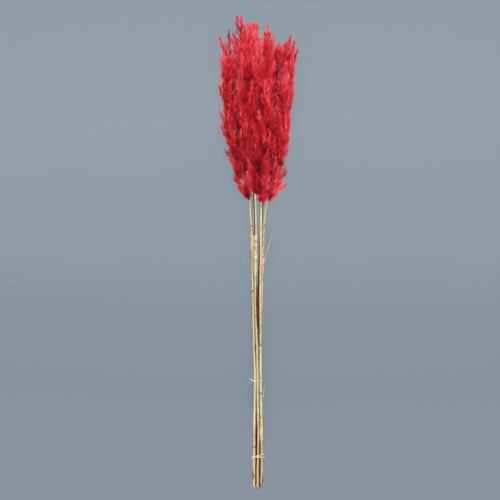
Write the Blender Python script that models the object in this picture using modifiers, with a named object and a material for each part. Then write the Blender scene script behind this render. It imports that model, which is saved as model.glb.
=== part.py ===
"""A bundle of six pampas grass stalks with dyed plumes, tied twice with twine and laid on its side.

Metres, +Z up. The stalks run along +Y, from the cut ends to the plume tips, and +X is to the right of
someone who looks down on the bundle with the plumes at the top. The origin is at the middle of the
footprint, on the surface that the bundle lies on. Four plumes lie on that surface and two lie on them.
"""

import math

import bmesh
import bpy
from mathutils import Vector

# The whole bundle
LENGTH = 0.750
CUT_Y = -LENGTH / 2
TIP_Y = LENGTH / 2
GAP = 0.0003  # clearance that pieces which touch keep between their meshes

# Stems: a dried culm that tapers from its cut end and runs on into the plume as its rachis
STEM_RADIUS_CUT = 0.0021
STEM_RADIUS_PLUME = 0.0015
RACHIS_RADIUS_END = 0.0006
RACHIS_SHARE = 0.78  # of the plume's length
STEM_TILT = math.radians(3.0)  # the tied end rises from the cut ends towards the plumes

# Places in the ties: a top row of three over a bottom row of three, drawn closer at the upper tie
LOWER_TIE_PITCH = 0.0060
UPPER_TIE_PITCH = 0.00475
ROW_PITCH = 0.0054
BUNDLE_X = 0.0004
WAIST_Y = -0.085  # between the upper tie and the plumes, where the stems have begun to part
WAIST_LIFT = 0.85  # of the height they would have there on a straight line to the plume

# Plumes: two layers, the lower one flattened where it lies on the surface
LAYER_SPLIT_Z = 0.0335
PLUME_TOP_Z = 0.0625
PLUME_HALF_WIDTH = 0.0180
PLUME_HALF_HEIGHT = 0.0215
PLUME_END_RADIUS = 0.0030
PLUME_BLUNTNESS = 0.42
PLUME_SIDES = 16
PLUME_STATIONS = (
    0.080, 0.092, 0.104, 0.118, 0.136, 0.158, 0.186,
    0.216, 0.248, 0.280, 0.306, 0.326, 0.342, 0.357,
)
STATION_CLEARANCE = 0.004  # a plume's own ends keep this far from the shared stations

# Ties
TWINE_RADIUS = 0.00075
LOWER_TIE_Y = -0.3235
UPPER_TIE_Y = -0.2040
LOWER_TURNS_APART = 0.0022
UPPER_KNOT_X = -0.0048
LOWER_KNOT_X = 0.0016
KNOT_RADIUS = 0.0017
KNOT_LIFT = 0.0001  # keeps the knot's lowest point off the turn's own surface
TIE_POINTS_PER_CORNER = 6

# Sheaths: a papery tube with a slack fit
SHEATH_WALL = 0.00035

# Dry leaves: where each is held on its stem, and its half-thickness from root to tip
LONG_LEAF_Y = -0.0160
SHORT_LEAF_Y = -0.2300
LONG_LEAF_RADII = (0.0005, 0.0006, 0.0006, 0.0005, 0.0002)
SHORT_LEAF_RADII = (0.0005, 0.0006, 0.0005, 0.0002)

# Meshes
STEM_RINGS = 20
RACHIS_RINGS = 9
SHEATH_RINGS = 5
BORE_MOUTH = 0.002  # how far the bore's cutter stands out of the plume's base
WELD = 0.00001
SHARP_ANGLE = math.radians(40)
COLLECTION = "pampas_bundle"

# Colours, and how rough each is
STRAW = ((0.62, 0.50, 0.29), 0.62)
DYE = ((0.43, 0.016, 0.025), 0.90)
HUSK = ((0.66, 0.55, 0.36), 0.80)
BLADE = ((0.64, 0.50, 0.27), 0.75)
TWINE = ((0.82, 0.74, 0.52), 0.85)


def spread(start, end, count):
    return [start + (end - start) * step / (count - 1) for step in range(count)]


class Stalk:
    """One stalk: its place in the ties, and the line that it follows through its plume."""

    def __init__(self, number, columns, row, cut_y, waist_x, base, shoulder, crown, tip, sheath, layer):
        self.number = number
        self.layer = layer
        self.cut_y = cut_y
        self.base_y = base[1]
        self.tip_y = tip[1]
        self.sheath = sheath
        lower_x = BUNDLE_X + columns[0] * LOWER_TIE_PITCH
        upper_x = BUNDLE_X + columns[1] * UPPER_TIE_PITCH
        low_z = STEM_RADIUS_CUT * math.cos(STEM_TILT) + row * ROW_PITCH
        rise = math.tan(STEM_TILT)
        self.keys = [
            Vector((x, y, low_z + rise * (y - CUT_Y)))
            for x, y in ((lower_x, cut_y), (lower_x, LOWER_TIE_Y), (upper_x, UPPER_TIE_Y))
        ]
        past_tie = (WAIST_Y - UPPER_TIE_Y) / (base[1] - UPPER_TIE_Y)
        waist_z = self.keys[-1].z + WAIST_LIFT * past_tie * (base[2] - self.keys[-1].z)
        self.keys.append(Vector((waist_x, WAIST_Y, waist_z)))
        self.keys += [Vector(base), Vector(shoulder), Vector(crown), Vector(tip)]

    def axis(self, y):
        """The point at y on the smooth line through the stalk's keys (a cubic between each two)."""
        keys = self.keys
        last = len(keys) - 2
        step = 0
        while step < last and y > keys[step + 1].y:
            step += 1
        start, end = keys[step], keys[step + 1]
        span = end.y - start.y
        before, after = keys[max(step - 1, 0)], keys[min(step + 2, last + 1)]
        slope_start = (end - before) / (end.y - before.y) * span
        slope_end = (after - start) / (after.y - start.y) * span
        t = (y - start.y) / span
        point = (
            start * (2 * t**3 - 3 * t**2 + 1)
            + slope_start * (t**3 - 2 * t**2 + t)
            + end * (3 * t**2 - 2 * t**3)
            + slope_end * (t**3 - t**2)
        )
        return Vector((point.x, y, point.z))

    def radius(self, y):
        """The stem's radius at y: it tapers to the plume, and the rachis tapers on to its end."""
        if y <= self.base_y:
            share = (y - self.cut_y) / (self.base_y - self.cut_y)
            return STEM_RADIUS_CUT + (STEM_RADIUS_PLUME - STEM_RADIUS_CUT) * share
        share = (y - self.base_y) / (self.rachis_end() - self.base_y)
        return STEM_RADIUS_PLUME + (RACHIS_RADIUS_END - STEM_RADIUS_PLUME) * share

    def rachis_end(self):
        return self.base_y + RACHIS_SHARE * (self.tip_y - self.base_y)

    def rachis_heights(self):
        """Where the rachis has its rings, which the bore round it shares."""
        return spread(self.base_y, self.rachis_end(), RACHIS_RINGS)


# Each row: place along its row at the lower and the upper tie, row, y of the cut, and x at the waist.
# Then points on the plume's axis, at its base, shoulder, crown and tip. Then the two ends of the leaf
# sheath, and the layer that the plume lies in.
STALKS = [
    Stalk(1, (-1.00, -1.00), 1, -0.3725, -0.0078, (-0.0130, 0.0850, 0.0200), (-0.0365, 0.1650, 0.0170),
          (-0.0418, 0.2600, 0.0170), (-0.0480, 0.3450, 0.0150), (-0.0100, 0.0310), 0),
    Stalk(2, (-0.62, -0.90), 0, -0.3712, -0.0048, (-0.0062, 0.1000, 0.0160), (-0.0125, 0.1650, 0.0165),
          (-0.0185, 0.2600, 0.0165), (-0.0290, TIP_Y, 0.0150), (-0.0900, -0.0100), 0),
    Stalk(3, (0.00, 0.00), 1, CUT_Y, -0.0031, (-0.0042, 0.0920, 0.0455), (-0.0165, 0.1650, 0.0480),
          (-0.0190, 0.2600, 0.0475), (-0.0080, 0.3570, 0.0420), (-0.0420, 0.0280), 1),
    Stalk(4, (1.00, 1.00), 1, -0.3705, 0.0058, (0.0056, 0.0740, 0.0450), (0.0112, 0.1650, 0.0480),
          (0.0110, 0.2600, 0.0475), (0.0165, 0.3550, 0.0420), (-0.3010, -0.2610), 1),
    Stalk(5, (0.25, 0.03), 0, -0.3735, 0.0010, (0.0076, 0.0820, 0.0160), (0.0110, 0.1650, 0.0165),
          (0.0170, 0.2600, 0.0165), (0.0310, 0.3330, 0.0150), (-0.1300, -0.0600), 0),
    Stalk(6, (1.10, 0.95), 0, -0.3718, 0.0066, (0.0132, 0.0700, 0.0180), (0.0365, 0.1650, 0.0170),
          (0.0422, 0.2600, 0.0170), (0.0495, 0.3430, 0.0150), (-0.0480, 0.0400), 0),
]


def clear_scene():
    for obj in list(bpy.data.objects):
        bpy.data.objects.remove(obj, do_unlink=True)


def new_collection(name):
    collection = bpy.data.collections.new(name)
    bpy.context.scene.collection.children.link(collection)
    return collection


def finish(name, colour, roughness):
    material = bpy.data.materials.new(name)
    material.use_nodes = True
    shader = material.node_tree.nodes["Principled BSDF"]
    shader.inputs["Base Color"].default_value = (*colour, 1.0)
    shader.inputs["Roughness"].default_value = roughness
    shader.inputs["Metallic"].default_value = 0.0
    return material


def tube(name, points, radii, closed=False, capped=True):
    """A curve swept by a ring. Its bevel depth is 1 m, so a point's radius is the tube's, in metres."""
    curve = bpy.data.curves.new(name, "CURVE")
    curve.dimensions = "3D"
    curve.twist_mode = "MINIMUM" if closed else "Z_UP"
    curve.bevel_depth = 1.0
    curve.bevel_resolution = 2
    curve.use_fill_caps = capped and not closed
    spline = curve.splines.new("POLY")
    spline.points.add(len(points) - 1)
    for place, point, radius in zip(spline.points, points, radii):
        place.co = (*point, 1.0)
        place.radius = radius
    spline.use_cyclic_u = closed
    obj = bpy.data.objects.new(name, curve)
    bpy.context.scene.collection.objects.link(obj)
    return obj


def as_mesh(obj):
    """The same object as a welded mesh, which can be cut, joined or used as a cutter."""
    bpy.context.view_layer.update()
    source = obj.evaluated_get(bpy.context.evaluated_depsgraph_get())
    mesh = bpy.data.meshes.new_from_object(source)
    bm = bmesh.new()
    bm.from_mesh(mesh)
    bmesh.ops.remove_doubles(bm, verts=bm.verts, dist=WELD)
    bmesh.ops.recalc_face_normals(bm, faces=bm.faces)
    bm.to_mesh(mesh)
    bm.free()
    solid = bpy.data.objects.new(obj.name, mesh)
    solid.matrix_world = obj.matrix_world
    name = obj.name
    bpy.data.objects.remove(obj, do_unlink=True)
    solid.name = name
    return solid


def place(obj, collection, material):
    """Put a finished sub-part in its collection, with its own material and round faces shaded smooth."""
    for user in list(obj.users_collection):
        user.objects.unlink(obj)
    collection.objects.link(obj)
    obj.data.materials.clear()
    obj.data.materials.append(material)
    if obj.type == "MESH":
        obj.data.shade_smooth()
        obj.data.set_sharp_from_angle(angle=SHARP_ANGLE)
    return obj


def cut_or_join(target, other, operation, cutters):
    """Add a Boolean with a hidden partner that stays in the cutters' collection."""
    for user in list(other.users_collection):
        user.objects.unlink(other)
    cutters.objects.link(other)
    other.hide_render = True
    other.display_type = "WIRE"
    boolean = target.modifiers.new(operation.lower(), "BOOLEAN")
    boolean.operation = operation
    boolean.solver = "EXACT"
    boolean.object = other


# Stems


def make_stem(stalk, collection):
    heights = spread(stalk.cut_y, stalk.base_y, STEM_RINGS)[:-1] + stalk.rachis_heights()
    points = [stalk.axis(y) for y in heights]
    stem = tube(f"stem_{stalk.number}", points, [stalk.radius(y) for y in heights])
    place(stem, collection, finish(f"straw_{stalk.number}", *STRAW))


# Plumes


def plume_share(stalk, y):
    """How full the plume is at y: a spindle with blunt ends."""
    along = (y - stalk.base_y) / (stalk.tip_y - stalk.base_y)
    return max(math.sin(math.pi * min(along, 1.0)), 0.0) ** PLUME_BLUNTNESS


def plume_cell(stalk, y):
    """The room that a plume has at y: half way to its neighbours, and within its layer."""
    middle = stalk.axis(y)
    left = middle.x - PLUME_HALF_WIDTH
    right = middle.x + PLUME_HALF_WIDTH
    for other in STALKS:
        if other.layer == stalk.layer and other is not stalk:
            border = (middle.x + other.axis(y).x) / 2
            if border < middle.x:
                left = max(left, border + GAP)
            else:
                right = min(right, border - GAP)
    if stalk.layer == 0:
        return left, right, 0.0, LAYER_SPLIT_Z - GAP
    return left, right, LAYER_SPLIT_Z + GAP, PLUME_TOP_Z


def plume_section(stalk, y):
    """An ellipse round the axis, pressed flat where it meets its neighbours or the surface."""
    middle = stalk.axis(y)
    left, right, low, high = plume_cell(stalk, y)
    share = plume_share(stalk, y)
    half_width = max(PLUME_HALF_WIDTH * share, PLUME_END_RADIUS)
    half_height = max(PLUME_HALF_HEIGHT * share, PLUME_END_RADIUS)
    ring = []
    for side in range(PLUME_SIDES):
        turn = 2 * math.pi * (side + 0.5) / PLUME_SIDES
        x = middle.x + half_width * math.cos(turn)
        z = middle.z + half_height * math.sin(turn)
        ring.append((min(max(x, left), right), y, min(max(z, low), high)))
    return ring


def make_plume(stalk, collection, cutters):
    """A loft through the plume's sections, with a blind bore that its rachis stands in."""
    first, last = stalk.base_y, stalk.tip_y
    heights = [y for y in PLUME_STATIONS if first + STATION_CLEARANCE < y < last - STATION_CLEARANCE]
    bm = bmesh.new()
    rings = [[bm.verts.new(point) for point in plume_section(stalk, y)] for y in (first, *heights, last)]
    for ring, following in zip(rings, rings[1:]):
        for side in range(PLUME_SIDES):
            nxt = (side + 1) % PLUME_SIDES
            bm.faces.new((ring[side], ring[nxt], following[nxt], following[side]))
    bm.faces.new(rings[0])
    bm.faces.new(rings[-1])
    bmesh.ops.recalc_face_normals(bm, faces=bm.faces)
    mesh = bpy.data.meshes.new(f"plume_{stalk.number}")
    bm.to_mesh(mesh)
    bm.free()
    plume = bpy.data.objects.new(f"plume_{stalk.number}", mesh)
    place(plume, collection, finish(f"dyed_plume_{stalk.number}", *DYE))

    bore_heights = [stalk.base_y - BORE_MOUTH, *stalk.rachis_heights(), stalk.rachis_end() + GAP]
    radii = [stalk.radius(min(y, stalk.rachis_end())) + GAP for y in bore_heights]
    bore = tube(f"bore_{stalk.number}", [stalk.axis(y) for y in bore_heights], radii)
    cut_or_join(plume, as_mesh(bore), "DIFFERENCE", cutters)


# Leaf sheaths


def make_sheath(stalk, collection):
    """An open tube round the stem, made a thin wall with Solidify."""
    heights = spread(*stalk.sheath, SHEATH_RINGS)
    radii = [stalk.radius(y) + GAP for y in heights]
    points = [stalk.axis(y) for y in heights]
    sheath = as_mesh(tube(f"sheath_{stalk.number}", points, radii, capped=False))
    wall = sheath.modifiers.new("wall", "SOLIDIFY")
    wall.thickness = SHEATH_WALL
    wall.offset = 1.0
    place(sheath, collection, finish(f"husk_{stalk.number}", *HUSK))


# Dry leaves


def make_leaf(name, held_at, offsets, radii, collection):
    """A narrow dry leaf, rolled up as it dried, that leaves its stem at one point."""
    leaf = tube(name, [held_at + Vector(offset) for offset in offsets], radii)
    place(leaf, collection, finish(f"{name}_straw", *BLADE))


# Ties


def wrap_path(y):
    """A closed loop round all the stems at y: a rectangle with round corners, a twine radius off them."""
    corners = [stalk.axis(y) for stalk in STALKS]
    reach = STEM_RADIUS_CUT + GAP + TWINE_RADIUS
    left = min(corner.x for corner in corners)
    right = max(corner.x for corner in corners)
    low = min(corner.z for corner in corners)
    high = max(corner.z for corner in corners)
    points = []
    for x, z, start in ((right, high, 0), (left, high, 1), (left, low, 2), (right, low, 3)):
        for step in range(TIE_POINTS_PER_CORNER):
            turn = math.pi / 2 * (start + step / (TIE_POINTS_PER_CORNER - 1))
            points.append(Vector((x + reach * math.cos(turn), y, z + reach * math.sin(turn))))
    return points


def twine(name, points, closed=False):
    return as_mesh(tube(name, points, [TWINE_RADIUS] * len(points), closed))


def make_tie(name, turns_y, knot_x, tails, collection, cutters):
    """One or two turns of twine, with a knot on top that joins them and the tails' roots."""
    middle = sum(turns_y) / len(turns_y)
    top = max(point.z for point in wrap_path(middle))
    tie = twine(name, wrap_path(turns_y[0]), closed=True)
    for number, y in enumerate(turns_y[1:], 2):
        cut_or_join(tie, twine(f"{name}_turn_{number}", wrap_path(y), closed=True), "UNION", cutters)
    knot_centre = Vector((knot_x, middle, top + KNOT_RADIUS - TWINE_RADIUS + KNOT_LIFT))
    bpy.ops.mesh.primitive_uv_sphere_add(segments=12, ring_count=8, radius=KNOT_RADIUS, location=knot_centre)
    knot = bpy.context.object
    knot.name = f"{name}_knot"
    cut_or_join(tie, knot, "UNION", cutters)
    for number, tail in enumerate(tails, 1):
        route = [knot_centre + Vector(offset) for offset in tail]
        cut_or_join(tie, twine(f"{name}_tail_{number}", route), "UNION", cutters)
    place(tie, collection, finish(f"{name}_twine", *TWINE))


clear_scene()
parts = new_collection(COLLECTION)
cutters = new_collection("cutters")

for stalk in STALKS:
    make_stem(stalk, parts)
    make_plume(stalk, parts, cutters)
    make_sheath(stalk, parts)

make_leaf(
    "dry_leaf_1",
    STALKS[5].axis(LONG_LEAF_Y),
    [
        (0.0030, 0.0000, 0.0000),
        (0.0046, 0.0090, 0.0008),
        (0.0085, 0.0210, 0.0020),
        (0.0125, 0.0330, 0.0030),
        (0.0162, 0.0450, 0.0028),
    ],
    LONG_LEAF_RADII,
    parts,
)
make_leaf(
    "dry_leaf_2",
    STALKS[3].axis(SHORT_LEAF_Y),
    [
        (0.0031, 0.0000, 0.0008),
        (0.0038, 0.0070, 0.0016),
        (0.0050, 0.0140, 0.0022),
        (0.0062, 0.0210, 0.0022),
    ],
    SHORT_LEAF_RADII,
    parts,
)

make_tie(
    "upper_tie",
    (UPPER_TIE_Y,),
    UPPER_KNOT_X,
    [
        [(0, 0, 0), (-0.0030, 0.0010, 0.0002), (-0.0054, 0.0026, 0.0000), (-0.0076, 0.0048, -0.0008)],
        [(0, 0, 0), (0.0028, -0.0022, 0.0004), (0.0052, -0.0040, 0.0003)],
    ],
    parts,
    cutters,
)
make_tie(
    "lower_tie",
    (LOWER_TIE_Y - LOWER_TURNS_APART / 2, LOWER_TIE_Y + LOWER_TURNS_APART / 2),
    LOWER_KNOT_X,
    [
        [(0, 0, 0), (-0.0040, -0.0022, 0.0006), (-0.0080, -0.0046, 0.0002), (-0.0112, -0.0066, -0.0012)],
        [(0, 0, 0), (0.0038, -0.0012, 0.0004), (0.0078, -0.0018, -0.0002), (0.0108, -0.0020, -0.0012)],
    ],
    parts,
    cutters,
)
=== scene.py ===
"""A tied bundle of six red pampas grass stalks, lying on a pale floor and seen from above.

The frame's +Y runs from the cut ends to the plume tips, +X is to the right and +Z is up. The sections
follow the bunch as it is put together: the stems, their leaf sheaths, the dry leaves and flakes on them,
the plumes, then the ties.
"""

import math

import bmesh
import bpy
import numpy as np
from mathutils import Matrix, Vector, noise


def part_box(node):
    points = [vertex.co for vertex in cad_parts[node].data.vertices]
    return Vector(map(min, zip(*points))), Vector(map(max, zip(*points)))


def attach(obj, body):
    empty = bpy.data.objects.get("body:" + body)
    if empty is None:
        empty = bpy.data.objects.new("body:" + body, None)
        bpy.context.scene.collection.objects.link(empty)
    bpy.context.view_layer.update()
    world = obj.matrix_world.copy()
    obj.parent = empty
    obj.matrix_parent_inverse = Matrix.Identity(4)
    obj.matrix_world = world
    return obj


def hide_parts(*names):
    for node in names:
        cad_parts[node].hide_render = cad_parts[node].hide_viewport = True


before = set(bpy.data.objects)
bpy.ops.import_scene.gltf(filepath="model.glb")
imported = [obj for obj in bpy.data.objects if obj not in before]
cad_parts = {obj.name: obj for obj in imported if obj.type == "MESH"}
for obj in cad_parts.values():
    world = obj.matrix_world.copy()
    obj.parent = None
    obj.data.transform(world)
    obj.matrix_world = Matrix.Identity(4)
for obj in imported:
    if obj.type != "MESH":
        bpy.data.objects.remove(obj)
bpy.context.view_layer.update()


# Studio. A pale blue-grey floor that is lit from within, so that it takes hardly any shadow. One broad
# soft light hangs above the plumes and a little to their right, a weaker one to the left, under an even
# sky. The camera looks straight down on the bundle.

scene = bpy.context.scene
scene.view_settings.view_transform = "Standard"
CAMERA_LENS = 110
CAMERA_SENSOR = 36
VIEW_SPAN = 0.791  # metres of floor across the picture
VIEW_CENTRE = (-0.0119, 0.0012)
FLOOR_HALF = 4.0
FLOOR_COLOUR = (0.030, 0.035, 0.040)
FLOOR_REACH = 0.4  # metres from the middle to where the floor's glow stops changing
FLOOR_CLOUDINESS = 0.10
# The light that the floor gives off: the share of the way up its reach, and the colour there.
FLOOR_GLOW = (
    (0.00, (0.193, 0.232, 0.266)),
    (0.13, (0.192, 0.231, 0.262)),
    (0.23, (0.176, 0.213, 0.247)),
    (0.36, (0.184, 0.222, 0.256)),
    (0.55, (0.216, 0.261, 0.296)),
    (0.75, (0.233, 0.280, 0.316)),
    (1.00, (0.222, 0.268, 0.304)),
)
SKY_COLOUR = (0.86, 0.93, 1.0)
SKY_STRENGTH = 0.70
LAMP_AIM = (0.0, 0.1, 0.0)


class Signal:
    """A node's output, which can be worked with like a number."""

    def __init__(self, finish, socket):
        self.finish = finish
        self.socket = socket

    def maths(self, operation, first, second):
        return self.finish.node("ShaderNodeMath", {"operation": operation}, {0: first, 1: second})

    def __add__(self, other):
        return self.maths("ADD", self, other)

    __radd__ = __add__

    def __sub__(self, other):
        return self.maths("SUBTRACT", self, other)

    def __rsub__(self, other):
        return self.maths("SUBTRACT", other, self)

    def __mul__(self, other):
        return self.maths("MULTIPLY", self, other)

    __rmul__ = __mul__


class Finish:
    """A material under construction, round one Principled shader."""

    def __init__(self, name, constants):
        self.material = bpy.data.materials.new(name)
        self.material.use_nodes = True
        self.tree = self.material.node_tree
        self.shader = self.tree.nodes["Principled BSDF"]
        for socket, value in constants.items():
            self.shader.inputs[socket].default_value = value

    def put(self, socket, value):
        """Links a signal to a socket, or sets a number or a colour on it."""
        if isinstance(value, Signal):
            self.tree.links.new(value.socket, socket)
        elif isinstance(value, tuple) and len(value) == 3 and socket.type == "RGBA":
            socket.default_value = (*value, 1.0)
        else:
            socket.default_value = value

    def node(self, kind, settings, inputs, output=0):
        """Adds a node, sets it, then fills its sockets, and gives its output."""
        made = self.tree.nodes.new(kind)
        for name, value in settings.items():
            if name == "stops":
                while len(made.color_ramp.elements) < len(value):
                    made.color_ramp.elements.new(1.0)
                for element, (place, colour) in zip(made.color_ramp.elements, value):
                    element.position = place
                    element.color = (*colour, 1.0)
            else:
                setattr(made, name, value)
        for name, value in inputs.items():
            self.put(made.inputs[name], value)
        return Signal(self, made.outputs[output])

    def blend(self, factor, first, second):
        """The first colour where the factor is 0, and the second where it is 1."""
        return self.node("ShaderNodeMix", {"data_type": "RGBA"}, {0: factor, 6: first, 7: second}, 2)

    def ramp(self, factor, stops):
        return self.node("ShaderNodeValToRGB", {"stops": stops}, {0: factor})

    def band(self, value, start, end):
        """0 below start and 1 above end, with a smooth step between."""
        inputs = {"Value": value, "From Min": start, "From Max": end}
        return self.node("ShaderNodeMapRange", {"interpolation_type": "SMOOTHSTEP"}, inputs)

    def noise(self, vector, scale, detail=3.0, roughness=0.6):
        inputs = {"Vector": vector, "Scale": scale, "Detail": detail, "Roughness": roughness}
        return self.node("ShaderNodeTexNoise", {}, inputs)

    def place(self, scale=(1.0, 1.0, 1.0)):
        """The piece's own coordinates in metres, stretched by scale."""
        own = self.node("ShaderNodeTexCoord", {}, {}, "Object")
        return self.node("ShaderNodeMapping", {}, {"Vector": own, "Scale": scale})

    def attribute(self, name):
        return self.node("ShaderNodeAttribute", {"attribute_name": name}, {}, "Fac")

    def bump(self, height, distance, strength):
        inputs = {"Height": height, "Distance": distance, "Strength": strength}
        return self.node("ShaderNodeBump", {}, inputs)

    def feed(self, socket, value):
        self.put(self.shader.inputs[socket], value)


def own_object(name, mesh, finish):
    made = bpy.data.objects.new(name, mesh)
    scene.collection.objects.link(made)
    mesh.materials.clear()
    mesh.materials.append(finish.material)
    return made


camera_data = bpy.data.cameras.new("camera")
camera_data.lens = CAMERA_LENS
camera_data.sensor_width = CAMERA_SENSOR
camera = bpy.data.objects.new("camera", camera_data)
camera.location = (*VIEW_CENTRE, VIEW_SPAN * CAMERA_LENS / CAMERA_SENSOR)
scene.collection.objects.link(camera)
scene.camera = camera

paint = Finish("floor_paint", {"Roughness": 0.9, "Specular IOR Level": 0.1, "Emission Strength": 1.0})
paint.feed("Base Color", FLOOR_COLOUR)
on_floor = paint.place()
cloudy = paint.noise(on_floor, 2.2, 2.0)
floor_y = paint.node("ShaderNodeSeparateXYZ", {}, {0: on_floor}, "Y")
along_floor = floor_y * (0.5 / FLOOR_REACH) + 0.5 + (cloudy - 0.5) * FLOOR_CLOUDINESS
paint.feed("Emission Color", paint.ramp(along_floor, FLOOR_GLOW))
bm = bmesh.new()
bmesh.ops.create_grid(bm, x_segments=1, y_segments=1, size=FLOOR_HALF)
floor_mesh = bpy.data.meshes.new("floor")
bm.to_mesh(floor_mesh)
bm.free()
floor = own_object("floor", floor_mesh, paint)

for name, place, size, power in (
    ("key_light", (0.32, 0.60, 2.5), 1.4, 66.0),
    ("fill_light", (-0.80, 0.15, 2.5), 1.6, 34.0),
):
    lamp = bpy.data.lights.new(name, "AREA")
    lamp.shape = "DISK"
    lamp.size = size
    lamp.energy = power
    holder = bpy.data.objects.new(name, lamp)
    holder.location = place
    holder.rotation_euler = (Vector(LAMP_AIM) - Vector(place)).to_track_quat("-Z", "Y").to_euler()
    scene.collection.objects.link(holder)

sky = bpy.data.worlds.new("sky")
sky.use_nodes = True
sky.node_tree.nodes["Background"].inputs["Color"].default_value = (*SKY_COLOUR, 1.0)
sky.node_tree.nodes["Background"].inputs["Strength"].default_value = SKY_STRENGTH
scene.world = sky


# Stems. Six dried culms, each cut at its lower end and grown in one piece with the stalk inside its
# plume. A culm is pale straw with fine ribs, knots where leaves grew, and dye where it was dipped. Dark
# red stripes of painted shade run down the sides of the culms, mostly in the gaps between them, and the
# two culms that lie under the others are painted dark red all over as shade.

RING_GAP = 0.003  # the rings of a CAD stem or leaf are at least this far apart
STEM_STEP = 0.0026
STEM_SIDES = 14
SWAY_ACROSS, SWAY_UP = 0.00018, 0.00012
KNOTS = 3
FIRST_KNOT = 0.05
KNOT_SPACING = 0.165
KNOT_LENGTH = 0.0022
WAIST_ABOVE_KNOT = 0.006
WAIST_LENGTH = 0.003
PITH_RIM = 0.00035
PITH_HOLLOW = 0.00008


def corners_of(node):
    """A CAD node's corners, each once, from low to high Y."""
    points = np.array([corner.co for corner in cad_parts[node].data.vertices])
    points = np.unique(points.round(6), axis=0)
    return points[np.argsort(points[:, 1])]


def rings_of(node):
    """The rings of corners that a CAD stem or leaf was swept from, and the middle of each."""
    points = corners_of(node)
    rings = np.split(points, np.nonzero(np.diff(points[:, 1]) > RING_GAP)[0] + 1)
    return rings, np.array([ring.mean(axis=0) for ring in rings])


def glide(stations, values, at):
    """A smooth curve through the values at the stations, read at the places in at."""
    slopes = np.gradient(values, stations)
    step = np.clip(np.searchsorted(stations, at) - 1, 0, len(stations) - 2)
    span = stations[step + 1] - stations[step]
    t = np.clip((at - stations[step]) / span, 0.0, 1.0)
    start, end = values[step], values[step + 1]
    bend_start, bend_end = slopes[step] * span, slopes[step + 1] * span
    rise = t * t * (3 - 2 * t)
    return start + (end - start) * rise + bend_start * t * (1 - t) ** 2 - bend_end * t * t * (1 - t)


# Where a culm bows sideways out of its CAD line: the y, the half-length and how far to the right.
BOWS = {
    "stem_1": (-0.085, 0.045, 0.0011),
    "stem_2": (0.052, 0.030, 0.0015),
    "stem_4": (-0.080, 0.055, -0.0015),
}
STRAIGHT = (0.0, 1.0, 0.0)  # the same three values for a culm that has no such bow


class Culm:
    """The middle line and the radius of a stem, measured on its CAD node."""

    def __init__(self, node):
        self.bow = BOWS.get(node, STRAIGHT)
        rings, centres = rings_of(node)
        self.x, self.y, self.z = centres.T
        self.radius = np.array([
            np.linalg.norm(ring - centre, axis=1).mean() for ring, centre in zip(rings, centres)
        ])

    def at(self, y):
        """The points of the middle line at y."""
        y = np.asarray(y, float)
        bow_y, half, sideways = self.bow
        x = glide(self.y, self.x, y) + sideways * np.exp(-(((y - bow_y) / half) ** 2))
        return np.stack([x, y, glide(self.y, self.z, y)], axis=-1)

    def radius_at(self, y):
        """The culm's radius at y."""
        return np.interp(y, self.y, self.radius)


STALKS = range(1, 7)
RIGHT, LEFT = 0.0, math.pi
# For each stalk: how soaked it is, with dye on stalks 1, 3, 4 and 6 and with painted shade on stalks 2
# and 5, which lie under the others and are painted dark red all over; how weathered its straw is; and
# where a stripe of painted shade runs down one side of it, mostly in the gaps between the stems (the
# middle of the stripe, its half-length and the side).
CULM_STATES = {
    1: (0.10, 0.35, ((-0.154, 0.010, RIGHT), (-0.351, 0.013, LEFT), (-0.020, 0.012, RIGHT))),
    2: (1.20, 0.70, ()),
    3: (0.10, 0.75, ((-0.085, 0.050, RIGHT), (-0.300, 0.050, LEFT))),
    4: (0.08, 0.25, ((-0.359, 0.009, RIGHT), (-0.310, 0.060, LEFT))),
    5: (1.20, 0.70, ()),
    6: (0.12, 0.35, ()),
}
culms = {number: Culm(f"stem_{number}") for number in STALKS}


def ring_frame(points, step, radius):
    """The matrix that carries a unit circle on to a ring of the sweep, square to its path."""
    before, after = points[max(step - 1, 0)], points[min(step + 1, len(points) - 1)]
    turn = (Vector(after) - Vector(before)).to_track_quat("Z", "X").to_matrix().to_4x4()
    return Matrix.Translation(Vector(points[step])) @ turn @ Matrix.Diagonal((radius, radius, radius, 1.0))


def edges_at(corners):
    """The edges that meet at the corners, each once."""
    return list(dict.fromkeys(edge for corner in corners for edge in corner.link_edges))


def sweep(bm, points, radii, sides, closed=False):
    """A tube: one circle extruded from ring to ring along the path. Returns its rings of corners."""
    circle = bmesh.ops.create_circle(bm, cap_ends=False, segments=sides, radius=1.0)["verts"]
    placed = ring_frame(points, 0, radii[0])
    bmesh.ops.transform(bm, matrix=placed, verts=circle)
    rings = [circle]
    edges = edges_at(circle)
    for step in range(1, len(points)):
        made = bmesh.ops.extrude_edge_only(bm, edges=edges)["geom"]
        corners = [part for part in made if isinstance(part, bmesh.types.BMVert)]
        edges = [part for part in made if isinstance(part, bmesh.types.BMEdge)]
        following = ring_frame(points, step, radii[step])
        bmesh.ops.transform(bm, matrix=following @ placed.inverted(), verts=corners)
        placed = following
        rings.append(corners)
    if not closed:
        for ring in (rings[0], rings[-1]):
            rim = [edge for edge in edges_at(ring) if edge.is_boundary]
            bmesh.ops.edgeloop_fill(bm, edges=rim)
    return rings


def finish_mesh(bm, name, smooth_angle=40):
    bmesh.ops.recalc_face_normals(bm, faces=bm.faces)
    mesh = bpy.data.meshes.new(name)
    bm.to_mesh(mesh)
    bm.free()
    mesh.shade_smooth()
    mesh.set_sharp_from_angle(angle=math.radians(smooth_angle))
    return mesh


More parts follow.
